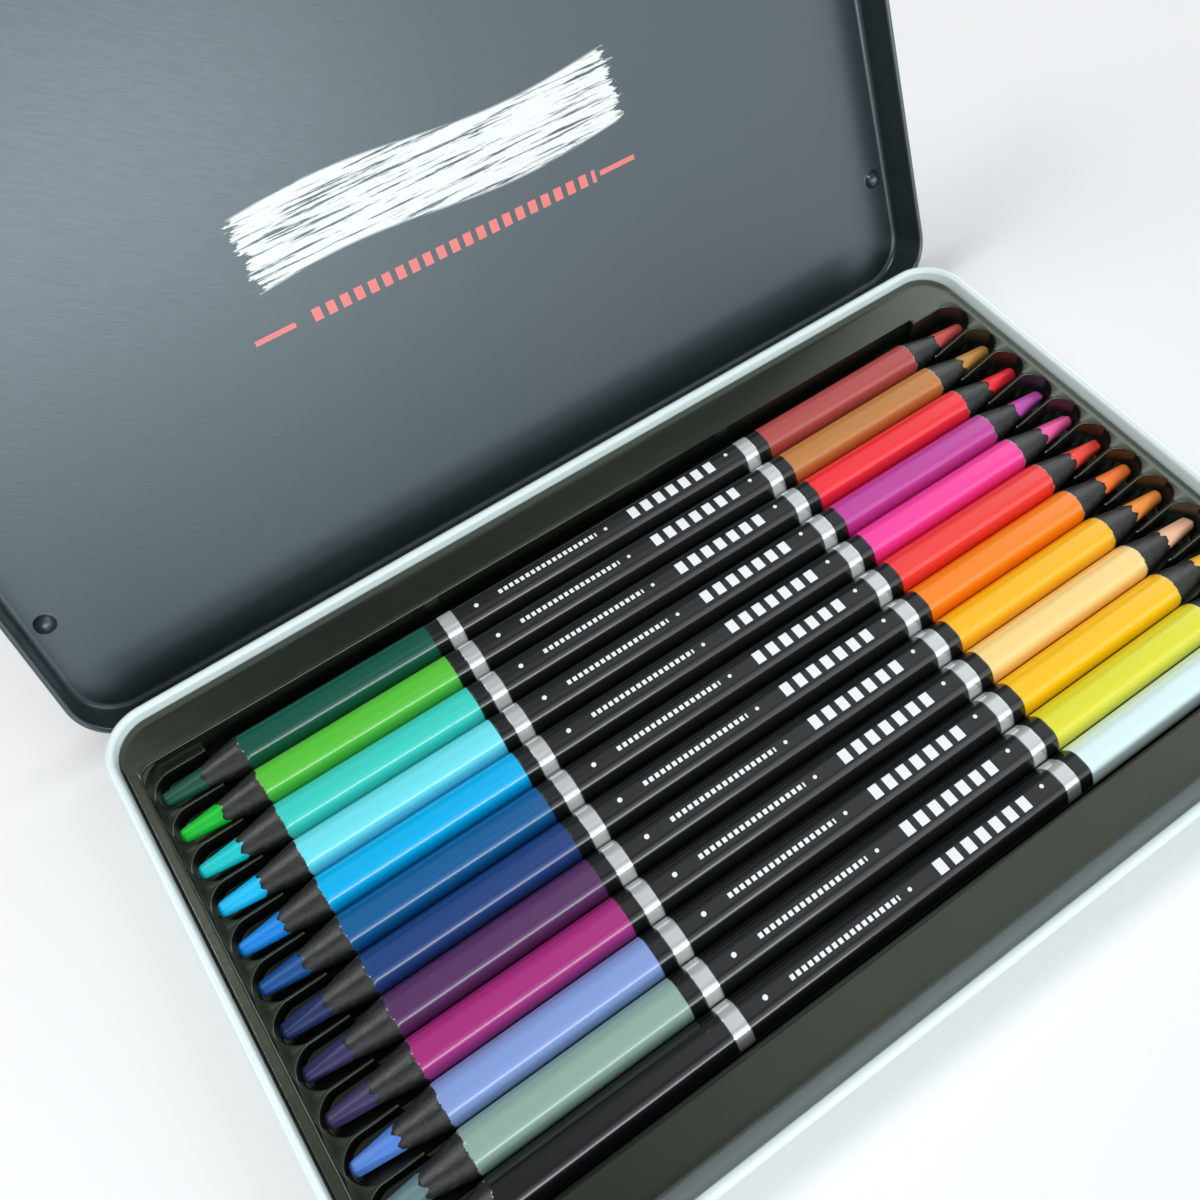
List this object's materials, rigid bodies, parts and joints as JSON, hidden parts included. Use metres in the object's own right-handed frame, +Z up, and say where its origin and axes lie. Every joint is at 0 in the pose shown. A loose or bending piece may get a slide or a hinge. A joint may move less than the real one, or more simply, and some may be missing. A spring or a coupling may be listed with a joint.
{
  "type": "colored pencil tin",
  "caption": "Flat hinged metal tin, lid open, with a formed black tray holding a row of hexagonal coloured pencils sharpened at both ends.",
  "frame": {"origin": "middle of the pan's flat underside", "axes": "+X along the pencils towards their warm-coloured ends, +Y towards the hinge, +Z up"},
  "size_m": [0.19, 0.1728, 0.1073],
  "materials": {
    "tin_plate": "satin white lacquer",
    "lid_lacquer": "satin black lacquer",
    "tray_plastic": "glossy black",
    "pencil_lacquer": "lacquered",
    "lead_warm_01": "waxy lead",
    "lead_cool_01": "waxy lead",
    "lead_warm_02": "waxy lead",
    "lead_cool_02": "waxy lead",
    "lead_warm_03": "waxy lead",
    "lead_cool_03": "waxy lead",
    "lead_warm_04": "waxy lead",
    "lead_cool_04": "waxy lead",
    "lead_warm_05": "waxy lead",
    "lead_cool_05": "waxy lead",
    "lead_warm_06": "waxy lead",
    "lead_cool_06": "waxy lead",
    "lead_warm_07": "waxy lead",
    "lead_cool_07": "waxy lead",
    "lead_warm_08": "waxy lead",
    "lead_cool_08": "waxy lead",
    "lead_warm_09": "waxy lead",
    "lead_cool_09": "waxy lead",
    "lead_warm_10": "waxy lead",
    "lead_cool_10": "waxy lead",
    "lead_warm_11": "waxy lead",
    "lead_cool_11": "waxy lead",
    "lead_warm_12": "waxy lead",
    "lead_cool_12": "waxy lead"
  },
  "bodies": {
    "base": {"base_pan": "tin_plate"},
    "lid": {"lid_shell": "lid_lacquer"},
    "tray": {"pencil_tray": "tray_plastic"},
    "pencil_01": {"pencil_01_casing": "pencil_lacquer", "pencil_01_lead_warm": "lead_warm_01", "pencil_01_lead_cool": "lead_cool_01"},
    "pencil_02": {"pencil_02_casing": "pencil_lacquer", "pencil_02_lead_warm": "lead_warm_02", "pencil_02_lead_cool": "lead_cool_02"},
    "pencil_03": {"pencil_03_casing": "pencil_lacquer", "pencil_03_lead_warm": "lead_warm_03", "pencil_03_lead_cool": "lead_cool_03"},
    "pencil_04": {"pencil_04_casing": "pencil_lacquer", "pencil_04_lead_warm": "lead_warm_04", "pencil_04_lead_cool": "lead_cool_04"},
    "pencil_05": {"pencil_05_casing": "pencil_lacquer", "pencil_05_lead_warm": "lead_warm_05", "pencil_05_lead_cool": "lead_cool_05"},
    "pencil_06": {"pencil_06_casing": "pencil_lacquer", "pencil_06_lead_warm": "lead_warm_06", "pencil_06_lead_cool": "lead_cool_06"},
    "pencil_07": {"pencil_07_casing": "pencil_lacquer", "pencil_07_lead_warm": "lead_warm_07", "pencil_07_lead_cool": "lead_cool_07"},
    "pencil_08": {"pencil_08_casing": "pencil_lacquer", "pencil_08_lead_warm": "lead_warm_08", "pencil_08_lead_cool": "lead_cool_08"},
    "pencil_09": {"pencil_09_casing": "pencil_lacquer", "pencil_09_lead_warm": "lead_warm_09", "pencil_09_lead_cool": "lead_cool_09"},
    "pencil_10": {"pencil_10_casing": "pencil_lacquer", "pencil_10_lead_warm": "lead_warm_10", "pencil_10_lead_cool": "lead_cool_10"},
    "pencil_11": {"pencil_11_casing": "pencil_lacquer", "pencil_11_lead_warm": "lead_warm_11", "pencil_11_lead_cool": "lead_cool_11"},
    "pencil_12": {"pencil_12_casing": "pencil_lacquer", "pencil_12_lead_warm": "lead_warm_12", "pencil_12_lead_cool": "lead_cool_12"}
  },
  "joints": [
    {"name": "lid_hinge", "type": "hinge", "parent": "base", "child": "lid", "pos_m": [0, 0.05794, 0.003], "axis": [-1, 0, 0], "range_deg": [-116.4, 0]},
    {"name": "tray_lift", "type": "slide", "parent": "base", "child": "tray", "axis": [0, 0, 1], "range_m": [0, 0.03]},
    {"name": "pencil_01_lift", "type": "slide", "parent": "tray", "child": "pencil_01", "axis": [0, 0, 1], "range_m": [0, 0.025]},
    {"name": "pencil_02_lift", "type": "slide", "parent": "tray", "child": "pencil_02", "axis": [0, 0, 1], "range_m": [0, 0.025]},
    {"name": "pencil_03_lift", "type": "slide", "parent": "tray", "child": "pencil_03", "axis": [0, 0, 1], "range_m": [0, 0.025]},
    {"name": "pencil_04_lift", "type": "slide", "parent": "tray", "child": "pencil_04", "axis": [0, 0, 1], "range_m": [0, 0.025]},
    {"name": "pencil_05_lift", "type": "slide", "parent": "tray", "child": "pencil_05", "axis": [0, 0, 1], "range_m": [0, 0.025]},
    {"name": "pencil_06_lift", "type": "slide", "parent": "tray", "child": "pencil_06", "axis": [0, 0, 1], "range_m": [0, 0.025]},
    {"name": "pencil_07_lift", "type": "slide", "parent": "tray", "child": "pencil_07", "axis": [0, 0, 1], "range_m": [0, 0.025]},
    {"name": "pencil_08_lift", "type": "slide", "parent": "tray", "child": "pencil_08", "axis": [0, 0, 1], "range_m": [0, 0.025]},
    {"name": "pencil_09_lift", "type": "slide", "parent": "tray", "child": "pencil_09", "axis": [0, 0, 1], "range_m": [0, 0.025]},
    {"name": "pencil_10_lift", "type": "slide", "parent": "tray", "child": "pencil_10", "axis": [0, 0, 1], "range_m": [0, 0.025]},
    {"name": "pencil_11_lift", "type": "slide", "parent": "tray", "child": "pencil_11", "axis": [0, 0, 1], "range_m": [0, 0.025]},
    {"name": "pencil_12_lift", "type": "slide", "parent": "tray", "child": "pencil_12", "axis": [0, 0, 1], "range_m": [0, 0.025]}
  ]
}
